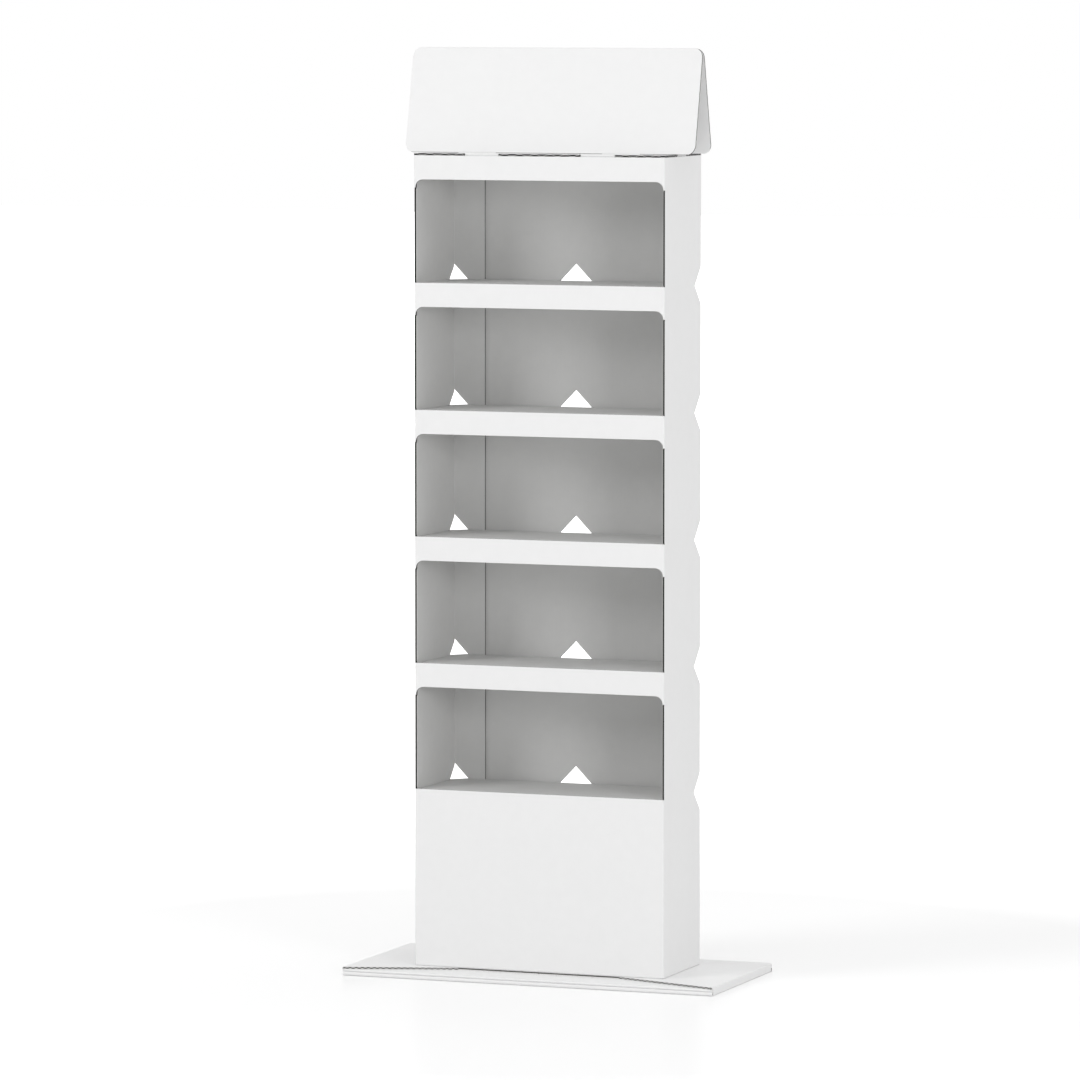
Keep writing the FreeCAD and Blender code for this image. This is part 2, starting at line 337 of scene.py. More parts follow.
flap_corner = glue_flap_width + board
front_left = flap_corner + 2 * half_depth - board
front_right = front_left + 2 * half_width
back_right = front_right + 2 * half_depth
back_end = back_right + 2 * half_width
wrap_corners = [
    (flap_corner, Vector((-half_width, half_depth - board, 0)), Vector((-1, 0, 0)), Vector((0, -1, 0))),
    (front_left, Vector((-half_width, -half_depth, 0)), Vector((0, -1, 0)), Vector((1, 0, 0))),
    (front_right, Vector((half_width, -half_depth, 0)), Vector((1, 0, 0)), Vector((0, 1, 0))),
    (back_right, Vector((half_width, half_depth, 0)), Vector((0, 1, 0)), Vector((-1, 0, 0))),
]
wrap_middles = [(a[0] + b[0]) / 2 for a, b in zip(wrap_corners, wrap_corners[1:])]


def smooth(t):
    """Goes softly from 0 to 1."""
    t = min(max(t, 0.0), 1.0)
    return t * t * (3 - 2 * t)


def flattened(v):
    """How far a front crease has died out at a height: 0 at the bars, 1 beside an opening."""
    for edge in levels:
        top = edge + opening_height - opening_corner_radius
        if edge < v < top:
            return min(smooth((v - edge) / uncrease), smooth((top - v) / uncrease))
    return 0.0


def place_wrap(u, v, depth):
    """Folds the column's four corners and turns its flanges in at the foot."""
    forward, inward = turned(foot_top - v, depth, crease_radius)
    height = foot_top - forward
    corner = sum(u > middle for middle in wrap_middles)
    at, spot, ahead, side = wrap_corners[corner]
    distance = u - at
    along, below = turned(distance, inward, crease_radius) if inward <= board else (distance, inward)
    if inward > board and distance > 0:
        along, below = -inward, distance
    if corner in (1, 2) and abs(distance) < fold_reach():
        straight = (distance, inward) if distance < 0 else (-inward, distance)
        w = flattened(v)
        along, below = along + (straight[0] - along) * w, below + (straight[1] - below) * w
    p = spot + ahead * along + side * below
    return (p.x, p.y, height)


def flange(start, end):
    """Outline of one turned-in flange, from left to right."""
    reach = flange_width + board
    return [
        (start + flange_mitre, foot_top),
        (start + flange_mitre + reach, foot_top - reach),
        (end - flange_mitre - reach, foot_top - reach),
        (end - flange_mitre, foot_top),
    ]


def opening_loop(edge):
    """Cut-out across the front, with rounded corners at its top and at the top of the bar below."""
    top = edge + opening_height
    r = opening_corner_radius
    s = bar_corner_radius
    left = front_left + opening_shoulder
    right = front_right - opening_shoulder
    past_left = front_left - edge_setback
    past_right = front_right + edge_setback
    return (
        arc((past_left + s, edge - s), s, 180, 90)
        + arc((past_right - s, edge - s), s, 90, 0)
        + [(past_right, top - r)]
        + arc((right - r, top - r), r, 0, 90)
        + arc((left + r, top - r), r, 90, 180)
        + [(past_left, top - r)]
    )


def window_loops(z):
    """Diamond windows in the middle of the back, at its right corner and at its left corner."""
    w, h = window_half_width, window_half_height
    back_middle = back_right + half_width
    beside = 1 - board / w  # height share left where the left side's fold crosses the window
    seam = flap_corner - board
    return [
        [(back_middle - w, z), (back_middle, z - h), (back_middle + w, z), (back_middle, z + h)],
        [(back_right - w, z), (back_right, z - h), (back_right + w, z), (back_right, z + h)],
        [
            (flap_corner - w, z),
            (seam, z - h * beside),
            (flap_corner, z - h * beside),
            (seam + w, z),
            (flap_corner, z + h * beside),
            (seam, z + h * beside),
        ],
    ]


def wrap_outline():
    """Blank of the outer wrap, with the last window cut open at the raw end of the back."""
    outline = [(0.0, foot_top + board), (flap_corner, foot_top + board)]
    ends = [flap_corner, front_left, front_right, back_right, back_end]
    for start, end in zip(ends, ends[1:]):
        outline += flange(start, end)
    outline.append((back_end, foot_top))
    w, h = window_half_width, window_half_height
    for edge in levels:
        z = edge - window_drop
        outline += [(back_end, z - h), (back_end - w, z), (back_end, z + h)]
    outline += [(back_end, column_top), (0.0, column_top)]
    return outline


def make_wrap():
    """The column's one sheet."""
    loops = [wrap_outline()]
    creases = []
    low, high = foot_top - flange_width - 2 * board, column_top + 1
    for at in (flap_corner, front_left, front_right, back_right):
        creases += across_u(at, low, high)
    creases += across_v(foot_top, 0, back_end)
    for edge in levels:
        loops.append(opening_loop(edge))
        loops += window_loops(edge - window_drop)
        top = edge + opening_height - opening_corner_radius
        reach = fold_reach()
        for at in (front_left, front_right):
            for k in range(1, uncrease_steps + 1):
                rise = uncrease * k / uncrease_steps
                for z in (edge + rise, top - rise):
                    creases.append(((at - reach, z), (at + reach, z)))
    mesh = Mesh()
    corrugated(mesh, loops, creases, place_wrap)
    return mesh.piece("column_wrap", "outer_wrap", board_finishes)


# Shelves
# u runs along X and v along Y; the lips are turned down round the deck.

shelf_drop = 0.5
lip_drop = 32.0
corner_cut = 5.0
lip_end_gap = 4.0
slit = 1.0  # cut beside the root of a lip
shelf_phase = 1.0  # where in a wave the fluting starts, in radians
fit_gap = 0.3
shelf_reach = half_width - board - fit_gap
shelf_front = -half_depth + board + fit_gap
shelf_back = half_depth - 2 * board - fit_gap


def strip_range():
    """Where the lips start and end."""
    window_edge = window_half_width + lip_end_gap
    side = (shelf_front + corner_cut + lip_end_gap, half_depth - window_edge)
    back = (window_edge, half_width - window_edge)
    front = shelf_reach - corner_cut - lip_end_gap
    return front, side, back


def place_shelf(level):
    """Turns the lips of one shelf down round its deck."""
    top = levels[level] - shelf_drop
    front, side, back = strip_range()

    def place(u, v, depth):
        x, y, below = u, v, depth
        reach = fold_reach()
        if v < shelf_front + reach and abs(u) <= front + snap:
            forward, below = turned(shelf_front - v, depth, turned_radius)
            y = shelf_front - forward
        elif v > shelf_back - reach and back[0] - snap <= abs(u) <= back[1] + snap:
            forward, below = turned(v - shelf_back, depth, turned_radius)
            y = shelf_back + forward
        elif abs(u) > shelf_reach - reach and side[0] - snap <= v <= side[1] + snap:
            forward, below = turned(abs(u) - shelf_reach, depth, turned_radius)
            x = math.copysign(shelf_reach + forward, u)
        return (x, y, top - below)

    return place


def shelf_outline():
    """Deck with a lip in front, one at each side and two at the back, and with its back corners cut off."""
    front, side, back = strip_range()
    reach = fold_reach()
    leg = window_half_width + fit_gap  # from the column's corner to where the cut corner starts
    right = [
        (front, shelf_front - lip_drop),
        (front, shelf_front + reach),
        (front + slit, shelf_front + reach),
        (front + slit, shelf_front),
        (shelf_reach - corner_cut, shelf_front),
        (shelf_reach - corner_cut, shelf_front + corner_cut),
        (shelf_reach, shelf_front + corner_cut),
        (shelf_reach, side[0] - slit),
        (shelf_reach - reach, side[0] - slit),
        (shelf_reach - reach, side[0]),
        (shelf_reach + lip_drop, side[0]),
        (shelf_reach + lip_drop, side[1]),
        (shelf_reach - reach, side[1]),
        (shelf_reach - reach, side[1] + slit),
        (shelf_reach, side[1] + slit),
        (shelf_reach, half_depth - leg + (half_width - shelf_reach)),
        (half_width - leg + (half_depth - shelf_back), shelf_back),
        (back[1] + slit, shelf_back),
        (back[1] + slit, shelf_back - reach),
        (back[1], shelf_back - reach),
        (back[1], shelf_back + lip_drop),
        (back[0], shelf_back + lip_drop),
        (back[0], shelf_back - reach),
        (back[0] - slit, shelf_back - reach),
        (back[0] - slit, shelf_back),
    ]
    return right + [(-u, v) for u, v in reversed(right)]


def make_shelf(level):
    """One shelf, put in with the inner side of its board up, so that its deck takes the inside liner's
    painted shade.
    """
    front, side, back = strip_range()
    creases = across_v(shelf_front, -front, front)
    for s in (-1, 1):
        creases += across_u(s * shelf_reach, side[0], side[1])
        creases += across_v(shelf_back, *sorted((s * back[0], s * back[1])))
    mesh = Mesh()
    corrugated(
        mesh, [shelf_outline()], creases, place_shelf(level),
        # The deck's top takes the greyer inside finish: painted shade of the compartment.
        waves="v", phase=shelf_phase, outer_finish=INSIDE,
    )
    name = f"shelf_board_{level + 1}"
    return mesh.piece(name, f"shelf_{level + 1}", board_finishes)


# Top panel

front_tab_width = 54.0
front_tab_offset = 92.5
side_tab_width = 47.0
top_tab_drop = 34.0
tab_corner_radius = 8.0
header_tab_width = 60.0
header_tab_offset = 115.0
header_tab_length = 16.0
header_corner_radius = 14.0
header_half_width = header_high.x
header_half_spread = header_high.y
tab_relief = 1.0
top_fluting = 0.5  # drawn thicker than the column's, so that it shows along the panel's cut edge
top_phase = 2 * math.pi * half_depth / flute_pitch  # the wave crosses the middle at the front edge
top_wander = (1.1, 24.0)
tuck = board + fit_gap  # the tabs tuck in behind the column's walls
tab_front = half_depth - tuck
tab_side = half_width - tuck


def place_top(u, v, depth):
    """Turns the panel's tabs down inside the column."""
    reach = fold_reach()
    x, y, below = u, v, depth
    on_front = front_tab_offset - front_tab_width / 2, front_tab_offset + front_tab_width / 2
    if on_front[0] - snap <= abs(u) <= on_front[1] + snap and abs(v) > tab_front - reach:
        forward, below = turned(abs(v) - tab_front, depth, turned_radius)
        y = math.copysign(tab_front + forward, v)
    elif abs(v) <= side_tab_width / 2 + snap and abs(u) > tab_side - reach:
        forward, below = turned(abs(u) - tab_side, depth, turned_radius)
        x = math.copysign(tab_side + forward, u)
    return (x, y, panel_top - below)


def tab_run(start, end, edge, fold, drop, corner):
    """Outline past one tab: in to the relief, out along the tab, round its corners and back.
    Gives pairs: along the panel's edge, and out from the panel's middle."""
    root = fold - fold_reach()
    tip = fold + drop
    turn = [math.pi / 2 * k / arc_steps for k in range(arc_steps + 1)]
    return (
        [(start - tab_relief, edge), (start - tab_relief, root), (start, root)]
        + [(start + corner * (1 - math.cos(a)), tip - corner * (1 - math.sin(a))) for a in turn]
        + [(end - corner * (1 - math.sin(a)), tip - corner * (1 - math.cos(a))) for a in turn]
        + [(end, root), (end + tab_relief, root), (end + tab_relief, edge)]
    )


def top_outline():
    """Panel with two tabs in front and behind and one at each side. The back half repeats the front half."""
    half = front_tab_width / 2
    runs = []
    for x in (-front_tab_offset, front_tab_offset):
        runs += tab_run(x - half, x + half, half_depth, tab_front, top_tab_drop, tab_corner_radius)
    half = side_tab_width / 2
    side = tab_run(-half, half, half_width, tab_side, top_tab_drop, tab_corner_radius)
    front = [(a, -out) for a, out in runs]
    right = [(out, a) for a, out in side]
    turned_half = front + [(half_width, -half_depth)] + right + [(half_width, half_depth)]
    return turned_half + [(-x, -y) for x, y in turned_half]


def header_slots():
    """Slots for the header's tabs, seen from above."""
    lean = header_lean()
    outer = header_half_spread + board * math.tan(lean) + fit_gap
    inner = header_half_spread - board / math.cos(lean) - fit_gap
    half = header_tab_width / 2 + fit_gap
    loops = []
    for sx in (-1, 1):
        for sy in (-1, 1):
            x = sx * header_tab_offset
            y0, y1 = sorted((sy * inner, sy * outer))
            loops.append([(x - half, y0), (x + half, y0), (x + half, y1), (x - half, y1)])
    return loops


def make_top():
    """The panel that closes the column and carries the header."""
    creases = []
    half = front_tab_width / 2
    for s in (-1, 1):
        for x in (-front_tab_offset, front_tab_offset):
            creases += across_v(s * tab_front, x - half, x + half)
        creases += across_u(s * tab_side, -side_tab_width / 2, side_tab_width / 2)
    mesh = Mesh()
    corrugated(
        mesh, [top_outline()] + header_slots(), creases, place_top,
        # The panel's facing papers take CORE on their cut rims: painted shade along the panel's front edge.
        waves="v", phase=top_phase, wander=top_wander, paper=top_fluting, liner_edge=CORE, flute_edge=CUT,
    )
    return mesh.piece("top_cover", "top_panel", board_finishes)


# Header
# u runs along X and v down the front from the ridge (positive) or down the rear (negative).

header_pitch = 13.8  # twice as coarse as real flutes, which are too fine to show along the cut
header_fluting = 0.6  # drawn thicker for the same reason
ridge_points = 4  # points of the outline over each half of the ridge
shoulder_points = 12  # points of the outline past the rounded corner below the ridge
shoulder_division = 10  # how many of them there are in one radius of the corner
foot_start = 1.6  # where the points of a lower corner start, in radii above the foot
foot_points = 14  # points of a lower corner


def header_lean():
    """Angle between a panel of the tent and the upright."""
    rise = ridge_top - panel_top - board
    return math.atan2(header_half_spread, rise) - math.asin(board / math.hypot(header_half_spread, rise))


def header_measures():
    """Bent length on each side of the ridge, slope length to the foot, and the front face's directions."""
    lean = header_lean()
    bend = board * (math.pi / 2 - lean)
    up = (-math.sin(lean), math.cos(lean))
    out = (math.cos(lean), math.sin(lean))
    shoulder = ridge_top - board + board * out[1]
    slope = (shoulder - panel_top - board * out[1]) / up[1]
    return bend, slope, up, out


def place_header(u, v, depth):
    """Folds the card at its ridge."""
    bend, _, up, out = header_measures()
    side = 1 if v > 0 else -1
    run = abs(v)
    middle = ridge_top - board
    if run <= bend:
        angle = run / board
        r = board - depth * bend_squeeze
        y, z = r * math.sin(angle), middle + r * math.cos(angle)
    else:
        y = out[0] * (board - depth) - up[0] * (run - bend)
        z = middle + out[1] * (board - depth) - up[1] * (run - bend)
    return (u, -side * y, z)


def header_outline():
    """Card with rounded corners at the ridge and the feet, and two tabs under each foot."""
    bend, slope, _, _ = header_measures()
    length = bend + slope
    r = header_corner_radius

    def height(v):
        return place_header(0, v, 0.0)[2]

    def edge(v):
        """Half width at a distance from the ridge."""
        z = height(v)
        for level, sign in ((ridge_top - r, 1), (panel_top + r, -1)):
            past = (z - level) * sign
            if past > 0:
                return header_half_width - r + math.sqrt(max(r * r - past * past, 0.0))
        return header_half_width

    stops = [bend * k / ridge_points for k in range(1, ridge_points + 1)]
    stops += [bend + r * k / shoulder_division for k in range(1, shoulder_points + 1)]
    low = length - foot_start * r
    turn = [math.pi / 2 * k / foot_points for k in range(foot_points + 1)]
    stops += [low + (length - low) * math.sin(a) for a in turn]
    stops = sorted(set(stops))
    half = header_tab_width / 2
    tip = length + header_tab_length
    c = tab_corner_radius
    foot = []
    for x in (header_tab_offset, -header_tab_offset):
        foot += [(x + half, length)] + arc((x + half - c, tip - c), c, 0, 90)
        foot += arc((x - half + c, tip - c), c, 90, 180) + [(x - half, length)]
    right = [(edge(v), v) for v in stops]
    left = [(-edge(v), v) for v in reversed(stops)]
    front = right + foot + left
    rear = [(-u, -v) for u, v in front]
    ridge = [(-edge(0.01), 0.0)]
    return front + ridge + rear + [(edge(0.01), 0.0)]


def bend_lines(w, bend):
    """Lines that let a sheet turn back on itself at v = 0."""
    lines = []
    for s in (-1, 1):
        for k in range(1, bend_steps + 1):
            v = s * bend * k / bend_steps
            lines.append(((-w, v), (w, v)))
    lines.append(((-w, 0.0), (w, 0.0)))
    return lines


def make_header():
    """The tent-shaped card."""
    creases = bend_lines(header_half_width + 1, header_measures()[0])
    mesh = Mesh()
    corrugated(
        mesh, [header_outline()], creases, place_header,
        waves="v", pitch_mm=header_pitch, paper=header_fluting, flute_edge=CUT, inner_finish=OUTSIDE,
    )
    return mesh.piece("header_card", "header", board_finishes)


# Foot plate

foot_half_width = tray_high.x
foot_half_depth = tray_high.y
foot_plate_top = tray_high.z
recess_half_width = 128.0
wing_joint = 1.0
flap_joint = 2.0
nip = 0.1
pad_thickness = 3.3
pad_side_gap = 0.5
flap_top = 2 * board + nip
flap_half_width = foot_half_width - board - pad_side_gap
roll_radius = flap_top / 2
roll_length = math.pi * (roll_radius - board / 2)
roll_steps = 12  # straight pieces that draw the roll
roll_squeeze = 0.97  # share of the board's depth kept inside the roll
tray_pitch = 2.8  # micro flutes, which show as short dark dashes along the slanted edges
tray_wave_steps = 6
tray_fluting = 0.9  # drawn thicker than real, so that it parts the dashes

# u runs from the joint over the left wing, down the left edge, along the bottom, up the right edge and back.
wing = foot_half_width - wing_joint / 2
tray_corners = [
    (wing, (-foot_half_width, foot_plate_top), (-1, 0), (0, -1)),
    (wing + foot_plate_top, (-foot_half_width, 0.0), (0, -1), (1, 0)),
    (wing + foot_plate_top + 2 * foot_half_width, (foot_half_width, 0.0), (1, 0), (0, 1)),
    (wing + 2 * foot_plate_top + 2 * foot_half_width, (foot_half_width, foot_plate_top), (0, 1), (-1, 0)),
]
tray_middles = [(a[0] + b[0]) / 2 for a, b in zip(tray_corners, tray_corners[1:])]
tray_end = 2 * wing + 2 * foot_plate_top + 2 * foot_half_width
bottom_middle = tray_end / 2


def place_tray(u, v, depth):
    """Folds the side edges up and the wings in, and rolls the front and back of the bottom over."""
    corner = sum(u > middle for middle in tray_middles)
    at, spot, ahead, side = tray_corners[corner]
    past = abs(v) - (foot_half_depth - roll_radius)
    if past > 0 and abs(u - bottom_middle) <= foot_half_width + snap and corner in (1, 2):
        x = u - bottom_middle
        if past < roll_length:
            angle = math.pi * past / roll_length
            r = roll_radius - depth * roll_squeeze
            y, z = r * math.sin(angle), roll_radius - r * math.cos(angle)
        else:
            y, z = roll_length - past, flap_top - depth
        return (x, math.copysign(foot_half_depth - roll_radius + y, v), z)
    along, below = turned(u - at, depth, crease_radius)
    x = spot[0] + ahead[0] * along + side[0] * below
    z = spot[1] + ahead[1] * along + side[1] * below
    return (x, v, z)


def tray_outline():
    """Blank of the tray: wings with their set-back front edge, side edges, bottom and two long flaps."""
    flap_end = foot_half_depth - roll_radius + roll_length + foot_half_depth - roll_radius - flap_joint / 2
    wall_end = foot_half_depth - roll_radius - nip  # the side edges stop behind the full-width roll
    roll_start = foot_half_depth - roll_radius + nip / 2
    roll_end = foot_half_depth - roll_radius + roll_length
    left, bottom_left = (c[0] for c in tray_corners[:2])
    inset = pad_side_gap + board
    under_wing = board  # down a side edge, from the fold to below the wing
    over_roll = foot_plate_top - flap_top
    recess = recess_half_width - wing_joint / 2

    def end(sign, drop):
        """Front or back end of the blank, between the two wings."""
        half = [
            (left, foot_half_depth),
            (left + drop, foot_half_depth),
            (left + drop, wall_end),
            (bottom_left + inset, wall_end),
            (bottom_left + inset, roll_start),
            (bottom_left, roll_start),
            (bottom_left, roll_end),
            (bottom_left + inset, roll_end),
            (bottom_left + inset, flap_end),
        ]
        other = [(tray_end - u, v) for u, v in reversed(half)]
        return [(u, sign * v) for u, v in half + other]

    front = [(0.0, -half_depth), (recess, -half_depth)] + end(-1, under_wing)
    front += [(tray_end - recess, -half_depth), (tray_end, -half_depth)]
    back = [(0.0, foot_half_depth)] + end(1, over_roll) + [(tray_end, foot_half_depth)]
    return front + list(reversed(back))


def make_tray():
    """The foot plate's one sheet."""
    creases = []
    for at, _, _, _ in tray_corners:
        creases += across_u(at, -foot_half_depth - 1, foot_half_depth + 1)
    start = foot_half_depth - roll_radius
    low, high = bottom_middle - foot_half_width, bottom_middle + foot_half_width
    for s in (-1, 1):
        for k in range(roll_steps + 1):
            v = s * (start + roll_length * k / roll_steps)
            creases.append(((low, v), (high, v)))
    mesh = Mesh()
    corrugated(
        mesh, [tray_outline()], creases, place_tray,
        waves="v", pitch_mm=tray_pitch, steps=tray_wave_steps, paper=tray_fluting, flute_edge=CUT,
    )
    return mesh.piece("foot_tray", "base_tray", board_finishes)


def place_pad(u, v, depth):
    """Thin board folded double at the front: v counts from the fold, below it positive."""
    radius = pad_thickness / 2
    bend = math.pi * radius / 2
    side = 1 if v > 0 else -1
    run = abs(v)
    middle = flap_top + radius
    front = -foot_half_depth + radius
    if run < bend:
        angle = run / radius
        r = radius - depth * bend_squeeze
        y, z = -r * math.cos(angle), r * math.sin(angle)
    else:
        y, z = run - bend, radius - depth
    return (u, front + y, middle - side * z)


def make_pad():
    """The pad that fills the foot plate above the flaps."""
    radius = pad_thickness / 2
    thin = (pad_thickness - nip) / 2
    bend = math.pi * radius / 2
    length = 2 * foot_half_depth - radius + bend
    w = flap_half_width
    full = foot_half_width
    nose = bend + roll_radius - radius  # the fold is full width in front of the tray's side edges
    half = [(w, length), (w, nose), (full, nose), (full, -nose), (w, -nose), (w, -length)]
    loop = half + [(-u, v) for u, v in reversed(half)]
    flat, faces = tiles([loop], bend_lines(full, bend))
    mesh = Mesh()
    mesh.layer(flat, faces, place_pad, lambda u, v: 0.0, lambda u, v: thin, OUTSIDE, INSIDE, CUT)
    return mesh.piece("foot_pad", "base_pad", board_finishes)


# Finishes
# Sizes of the paper's patterns and heights of its relief, in millimetres.

cloud_size = 14.0  # the cloudy formation that a white sheet shows against the light
coated_fibre = 0.7  # fibres under the clay coating, drawn coarser than real so that they show
coated_relief = 0.012
fluting_fibre = 0.5
fluting_relief = 0.05
cut_fibre = 0.35
cut_relief = 0.03


def linear(hex_colour):
    """A colour as it is written for the screen, turned to linear light."""
    parts = [int(hex_colour[k:k + 2], 16) / 255 for k in (1, 3, 5)]
    return tuple(c / 12.92 if c <= 0.04045 else ((c + 0.055) / 1.055) ** 2.4 for c in parts) + (1.0,)


def add(tree, kind, links=(), values=None, **settings):
    """Adds a node. Settings name its properties and inputs, values set inputs by their numbers,
    and links join (output, input name or number)."""
    node = tree.nodes.new(kind)
    for key, value in settings.items():
        if key in node.bl_rna.properties:
            setattr(node, key, value)
        else:
            node.inputs[key.replace("_", " ")].default_value = value
    for key, value in (values or {}).items():
        node.inputs[key].default_value = value
    for output, target in links:
        tree.links.new(output, node.inputs[target])
    return node


def blank_material(name, **shader):
    """A material with a Principled shader, and its tree, shader and object coordinates in millimetres."""
    material = bpy.data.materials.new(name)
    material.use_nodes = True
    tree = material.node_tree
    tree.nodes.clear()
    surface = add(tree, "ShaderNodeBsdfPrincipled", **shader)
    where = add(tree, "ShaderNodeTexCoord")
    scaled = add(
        tree, "ShaderNodeVectorMath", [(where.outputs["Object"], 0)], operation="SCALE", Scale=1 / MM
    )
    return material, tree, surface, scaled.outputs[0]


def paper_skin(tree, surface, pattern, fibre, first, second, height, below=()):
    """Two shades blended by a pattern, and the small relief of the fibres, as every paper has."""
    shades = add(
        tree, "ShaderNodeMix", [(pattern.outputs[0], 0)],
        values={6: linear(first), 7: linear(second)}, data_type="RGBA",
    )
    skin = add(
        tree, "ShaderNodeBump", [(fibre.outputs[0], "Height"), *below], Strength=1.0, Distance=height * MM
    )
    tree.links.new(shades.outputs[2], surface.inputs["Base Color"])
    tree.links.new(skin.outputs[0], surface.inputs["Normal"])
    add(tree, "ShaderNodeOutputMaterial", [(surface.outputs[0], "Surface")])


def coated_liner(name, light, shade, roughness, washboard_mm):
    """White clay-coated facing paper, calendered smooth and glued over flutes.
    To the eye: matt, very even white, with a faint cloudy formation, fine fibres, and flutes that only just
    show through as a washboard when light rakes along it."""
    material, tree, surface, place = blank_material(name, Roughness=roughness, IOR=1.45)
    cloud = add(tree, "ShaderNodeTexNoise", [(place, "Vector")], Scale=1 / cloud_size, Detail=3.0)
    fibre = add(
        tree, "ShaderNodeTexNoise", [(place, "Vector")],
        Scale=1 / coated_fibre, Detail=4.0, Roughness=0.65,
    )
    parts = add(tree, "ShaderNodeSeparateXYZ", [(place, 0)])
    round_column = add(
        tree, "ShaderNodeMath", [(parts.outputs[0], 0), (parts.outputs[1], 1)], operation="ADD"
    )
    turn = add(
        tree, "ShaderNodeMath", [(round_column.outputs[0], 0)],
        values={1: 2 * math.pi / flute_pitch}, operation="MULTIPLY",
    )
    wave = add(tree, "ShaderNodeMath", [(turn.outputs[0], 0)], operation="SINE")
    washboard = add(
        tree, "ShaderNodeBump", [(wave.outputs[0], "Height")], Strength=1.0, Distance=washboard_mm * MM
    )
    below = [(washboard.outputs[0], "Normal")]
    paper_skin(tree, surface, cloud, fibre, light, shade, coated_relief, below)
    return material


def fluting_paper():
    """Recycled fluting, formed hot between rollers, rough and dull. Its near-black grey is painted shade of
    the flute channels, darker than the paper itself, so that it reads dark.
    """
    material, tree, surface, place = blank_material("fluting_paper_painted_shade", Roughness=0.95, IOR=1.4)
    fibre = add(
        tree, "ShaderNodeTexNoise", [(place, "Vector")],
        Scale=1 / fluting_fibre, Detail=5.0, Roughness=0.7,
    )
    paper_skin(tree, surface, fibre, fibre, "#3C3B3A", "#4A4948", fluting_relief)
    return material


def cut_paper():
    """Die-cut edge of the facing papers: uncoated fibre, a little greyer and rougher."""
    material, tree, surface, place = blank_material("liner_cut_edge_paper", Roughness=0.9, IOR=1.4)
    fibre = add(
        tree, "ShaderNodeTexNoise", [(place, "Vector")],
        Scale=1 / cut_fibre, Detail=4.0, Roughness=0.7,
    )
    paper_skin(tree, surface, fibre, fibre, "#D8D7D5", "#E8E8E7", cut_relief)
    return material


board_finishes = [
    coated_liner("liner_clay_coated_white", "#F3F3F3", "#F0F0F0", 0.5, 0.010),
    # The inside liner is greyer than the outside white: painted shade that darkens the insides of the
    # compartments and the shelf decks.
    coated_liner("liner_inside_grey_painted_shade", "#D9D9D8", "#D4D4D3", 0.7, 0.012),
    fluting_paper(),
    cut_paper(),
]

make_wrap()
for shelf_level in range(compartments):
    make_shelf(shelf_level)
make_top()
make_header()
make_tray()
make_pad()


# Studio

world_fill = 0.26  # light from all round
world_slant = 0.18  # more of it from the right and less from the left
world_zenith = 1.03  # light from straight above, which falls off towards the horizon
key_power = 189.0
side_power = 90.0
lamp_aim = 0.75  # height that the lamps look at, in metres
floor_reach = 30.0  # metres from the stand to the floor's edges
floor_lift = 0.10  # brings the lit floor up to the white behind it, for the camera alone
floor_near = 950.0  # mm from the stand, where the lift starts to grow
floor_far = 2800.0  # mm from the stand, from where the floor is plain white


def floor_finish():
    """Sealed white studio floor: even white, with a soft sheen that mirrors the stand faintly."""
    material, tree, surface, place = blank_material(
        "studio_floor_sealed_white", Roughness=0.22, IOR=1.12, Base_Color=linear("#FAFAFA")
    )
    away = add(tree, "ShaderNodeVectorMath", [(place, 0)], operation="LENGTH")
    level = add(
        tree, "ShaderNodeMapRange", [(away.outputs["Value"], 0)],
        values={1: floor_near, 2: floor_far, 3: floor_lift, 4: 1.0},
    )
    lift = add(tree, "ShaderNodeEmission", [(level.outputs[0], "Strength")])
    path = add(tree, "ShaderNodeLightPath")
    both = add(tree, "ShaderNodeAddShader", [(surface.outputs[0], 0), (lift.outputs[0], 1)])
    mix = add(
        tree, "ShaderNodeMixShader",
        [(path.outputs["Is Camera Ray"], 0), (surface.outputs[0], 1), (both.outputs[0], 2)],
    )
    add(tree, "ShaderNodeOutputMaterial", [(mix.outputs[0], "Surface")])
    return material


def make_floor():
    """The plain floor that the stand is on."""
    far = floor_reach
    corners = [(-far, -far, 0.0), (far, -far, 0.0), (far, far, 0.0), (-far, far, 0.0)]
    mesh = bpy.data.meshes.new("studio_floor")
    mesh.from_pydata(corners, [], [(0, 1, 2, 3)])
    mesh.materials.append(floor_finish())
    floor = bpy.data.objects.new("studio_floor", mesh)
    bpy.context.scene.collection.objects.link(floor)


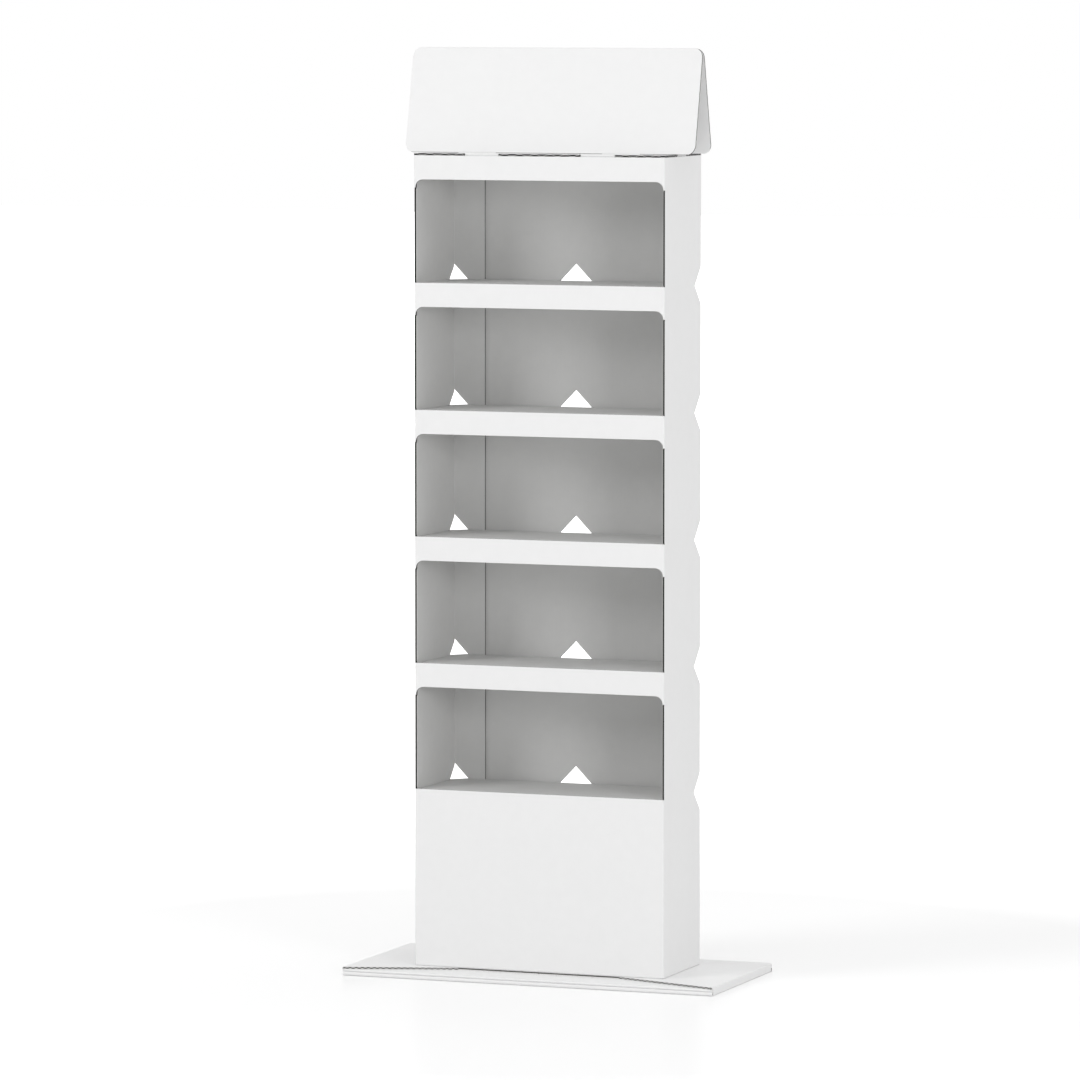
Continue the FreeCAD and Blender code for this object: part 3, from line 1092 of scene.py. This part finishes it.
def make_world():
    """Soft light, brighter from above and the right. The camera and mirror reflections see plain white."""
    world = bpy.data.worlds.new("studio")
    bpy.context.scene.world = world
    world.use_nodes = True
    tree = world.node_tree
    tree.nodes.clear()
    path = add(tree, "ShaderNodeLightPath")
    seen = add(
        tree, "ShaderNodeMath",
        [(path.outputs["Is Camera Ray"], 0), (path.outputs["Is Glossy Ray"], 1)], operation="MAXIMUM",
    )
    seen = add(
        tree, "ShaderNodeMath",
        [(seen.outputs[0], 0), (path.outputs["Is Transmission Ray"], 1)], operation="MAXIMUM",
    )
    where = add(tree, "ShaderNodeTexCoord")
    parts = add(tree, "ShaderNodeSeparateXYZ", [(where.outputs["Generated"], 0)])
    side = add(
        tree, "ShaderNodeMath", [(parts.outputs[0], 0)],
        values={1: world_slant, 2: world_fill}, operation="MULTIPLY_ADD",
    )
    rise = add(tree, "ShaderNodeMath", [(parts.outputs[2], 0)], values={1: 0.0}, operation="MAXIMUM")
    steep = add(tree, "ShaderNodeMath", [(rise.outputs[0], 0)], values={1: 2.0}, operation="POWER")
    level = add(
        tree, "ShaderNodeMath", [(steep.outputs[0], 0), (side.outputs[0], 2)],
        values={1: world_zenith}, operation="MULTIPLY_ADD",
    )
    light = add(tree, "ShaderNodeBackground", [(level.outputs[0], "Strength")], Color=(1, 1, 1, 1))
    white = add(tree, "ShaderNodeBackground", Color=(1, 1, 1, 1), Strength=1.0)
    mix = add(
        tree, "ShaderNodeMixShader", [(seen.outputs[0], 0), (light.outputs[0], 1), (white.outputs[0], 2)]
    )
    add(tree, "ShaderNodeOutputWorld", [(mix.outputs[0], "Surface")])


def aimed(name, data, spot, target):
    """Puts a lamp or the camera at a spot and turns it to a target."""
    made = bpy.data.objects.new(name, data)
    bpy.context.scene.collection.objects.link(made)
    made.location = spot
    made.rotation_euler = (Vector(target) - Vector(spot)).to_track_quat("-Z", "Y").to_euler()
    return made


def make_softbox(name, bearing, away, height, width, power):
    """Square diffuser lamp that stands at a bearing and a distance and looks at the stand."""
    data = bpy.data.lights.new(name, "AREA")
    data.shape = "SQUARE"
    data.size = width
    data.energy = power
    turn = math.radians(bearing)
    aimed(name, data, (away * math.cos(turn), away * math.sin(turn), height), (0, 0, lamp_aim))


def make_camera():
    """Long lens from the right of the front, a little above the stand."""
    yaw = math.radians(21.044)
    pitch_down = math.radians(4.804)
    range_mm = 10141.757
    target = Vector((2.453, -80.5, 664.942))
    back = Vector((
        math.sin(yaw) * math.cos(pitch_down), -math.cos(yaw) * math.cos(pitch_down), math.sin(pitch_down)
    ))
    data = bpy.data.cameras.new("camera")
    data.sensor_width = 36.0
    data.lens = 6787.119 / 1080 * 36.0
    data.clip_end = 200.0
    spot = (target + back * range_mm) * MM
    made = aimed("camera", data, spot, target * MM)
    bpy.context.scene.camera = made


make_floor()
make_world()
make_softbox("key_left", bearing=229.0, away=8.0, height=4.2, width=2.9, power=key_power)
make_softbox("fill_right", bearing=319.0, away=7.0, height=1.8, width=1.7, power=side_power)
make_camera()
bpy.context.scene.view_settings.view_transform = "Standard"
